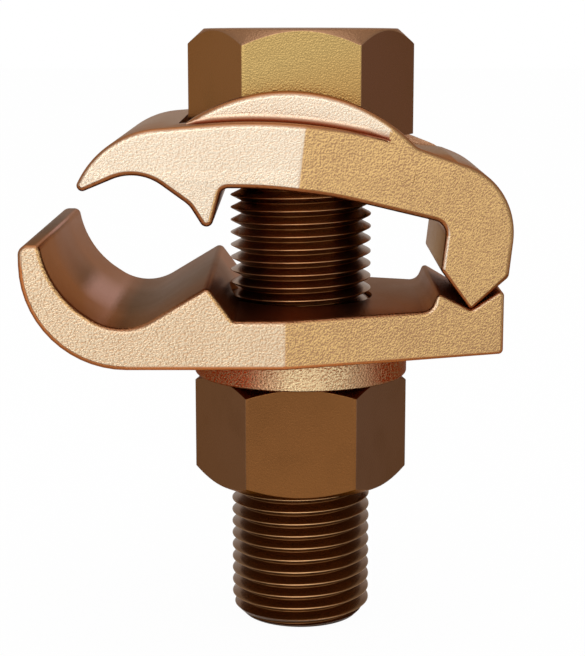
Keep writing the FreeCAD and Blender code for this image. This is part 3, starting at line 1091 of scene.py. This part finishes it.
class CONNECTOR_OT_studio(bpy.types.Operator):
    """Builds the pale floor, the soft lights, the reflecting cards, the background and the camera"""

    bl_idname = "connector.studio"
    bl_label = "Studio"

    def execute(self, context):
        scene = context.scene
        sizes = scene.connector_studio
        floor = new_piece("floor", *sheet_shape((0, 0, -STAND), (4000, 0, 0), (0, 4000, 0)))
        dress(floor, floor_finish(sizes.floor_colour))
        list(reflecting_cards())
        for name, place, target, size, power in (
            ("key", (-120, -620, 300), (0, 0, 45), (0.52, 0.42), sizes.key_power),
            ("top", (0, -60, 640), (0, 0, 40), (0.6, 0.5), sizes.top_power),
        ):
            data = bpy.data.lights.new(name, "AREA")
            data.shape = "RECTANGLE"
            data.size, data.size_y = size
            data.energy = power
            lamp = put_up(name, data, place, np.subtract(target, place))
            lamp.visible_camera = False
        scene.world = bpy.data.worlds.new("Studio air")
        air_finish(scene.world)
        data = bpy.data.cameras.new("camera")
        data.lens = sizes.lens
        data.sensor_width = 36.0
        data.clip_start, data.clip_end = 0.01, 50.0
        scene.camera = put_up("camera", data, (-0.933, -193.07, 68.96), (0, 0.98353, -0.18072))
        scene.view_settings.view_transform = "Standard"
        return {"FINISHED"}


def floor_finish(colour):
    """Floor that the camera sees almost as plain white, and that other rays see in its colour."""
    finish = Finish("Pale floor")
    seen = finish.node("LightPath")
    plain = finish.node("BsdfDiffuse", None, {"Color": rgba(colour)})
    both = finish.node("MixShader", None, {0: seen * 0.97, 1: plain, 2: finish.glow((1, 1, 1, 1))})
    finish.node("OutputMaterial", None, {"Surface": both})
    return finish.material


def reflecting_cards():
    """Cards that only reflections see: two beside, one behind and one above, and two flags on the floor."""
    flag_z = 0.4 - STAND
    cards = []
    for name, centre, tone, across, up in (
        ("card_left", (-300, 260, 200), (0.44, 0.42, 0.41), (0, 720, 0), (0, 0, 460)),
        ("card_right", (300, 260, 200), (0.40, 0.39, 0.39), (0, -720, 0), (0, 0, 460)),
        ("card_back", (0, 600, 250), (0.58, 0.54, 0.51), (1200, 0, 0), (0, 0, 560)),
        ("card_above", (0, 100, 720), (0.45, 0.40, 0.36), (1300, 0, 0), (0, 1000, 0)),
        ("flag_left", (-222, 240, flag_z), (0.44, 0.42, 0.41), (400, 0, 0), (0, 560, 0)),
        ("flag_right", (222, 240, flag_z), (0.44, 0.42, 0.41), (400, 0, 0), (0, 560, 0)),
    ):
        card = new_piece(name, *sheet_shape(centre, across, up))
        paint = Finish(name + " paint")
        paint.node("OutputMaterial", None, {"Surface": paint.glow(rgba(tone))})
        dress(card, paint.material)
        card.visible_camera = False
        card.visible_shadow = False
        card.visible_diffuse = False
        cards.append(card)
    return cards


def air_finish(world):
    """Background: white to the camera and to reflections, and a little darker as light."""
    air = Graph(world)
    rays = air.node("LightPath").socket.node.outputs
    kinds = ("Is Camera Ray", "Is Glossy Ray", "Is Transmission Ray")
    seen, glossy, through = (Wire(air.tree, rays[kind]) for kind in kinds)
    soft = air.node("Background", None, {0: (0.8, 0.8, 0.8, 1)})
    white = air.node("Background", None, {0: (1, 1, 1, 1)})
    shown = (seen + glossy + through).held()
    mixed = air.node("MixShader", None, {0: shown, 1: soft, 2: white})
    air.node("OutputWorld", None, {0: mixed})


def sheet_shape(centre, across, up):
    """Flat sheet: centre + across * u + up * v for u and v from -1/2 to 1/2."""
    u = np.array([-0.5, 0.5, 0.5, -0.5])[:, None]
    v = np.array([-0.5, -0.5, 0.5, 0.5])[:, None]
    corners = np.array(centre, float) + u * np.array(across, float) + v * np.array(up, float)
    return corners, [[0, 1, 2, 3]]


def put_up(name, data, place, way):
    """Object at a place in millimetres whose -Z axis looks along a direction, upright."""
    item = bpy.data.objects.new(name, data)
    item.location = [v * MM for v in place]
    x, y, z = (float(v) for v in way)
    item.rotation_euler = (math.atan2(math.hypot(x, y), -z), 0.0, math.atan2(-x, y))
    bpy.context.scene.collection.objects.link(item)
    return item


class CONNECTOR_PT_panel(bpy.types.Panel):
    """Sizes, colours and pieces of the grounding connector"""

    bl_idname = "CONNECTOR_PT_panel"
    bl_label = "Grounding connector"
    bl_space_type = "VIEW_3D"
    bl_region_type = "UI"
    bl_category = "Connector"

    def draw(self, context):
        scene = context.scene
        for title, group, actions in (
            ("Castings", scene.connector_casting, ("connector.lower_jaw", "connector.upper_jaw")),
            ("Bolt and nut", scene.connector_bolt, ("connector.bolt", "connector.nut")),
            ("Studio", scene.connector_studio, ("connector.studio",)),
        ):
            box = self.layout.box()
            box.label(text=title)
            for name in group.__annotations__:
                box.prop(group, name)
            for action in actions:
                box.operator(action)


CLASSES = (
    CastingSizes,
    BoltSizes,
    StudioSizes,
    CONNECTOR_OT_lower_jaw,
    CONNECTOR_OT_upper_jaw,
    CONNECTOR_OT_bolt,
    CONNECTOR_OT_nut,
    CONNECTOR_OT_studio,
    CONNECTOR_PT_panel,
)


def register():
    for item in CLASSES:
        bpy.utils.register_class(item)
    bpy.types.Scene.connector_casting = bpy.props.PointerProperty(type=CastingSizes)
    bpy.types.Scene.connector_bolt = bpy.props.PointerProperty(type=BoltSizes)
    bpy.types.Scene.connector_studio = bpy.props.PointerProperty(type=StudioSizes)


def unregister():
    del bpy.types.Scene.connector_studio
    del bpy.types.Scene.connector_bolt
    del bpy.types.Scene.connector_casting
    for item in reversed(CLASSES):
        bpy.utils.unregister_class(item)


def main():
    register()
    bpy.ops.connector.lower_jaw()
    bpy.ops.connector.upper_jaw()
    bpy.ops.connector.bolt()
    bpy.ops.connector.nut()
    bpy.ops.connector.studio()


if __name__ == "__main__":
    main()
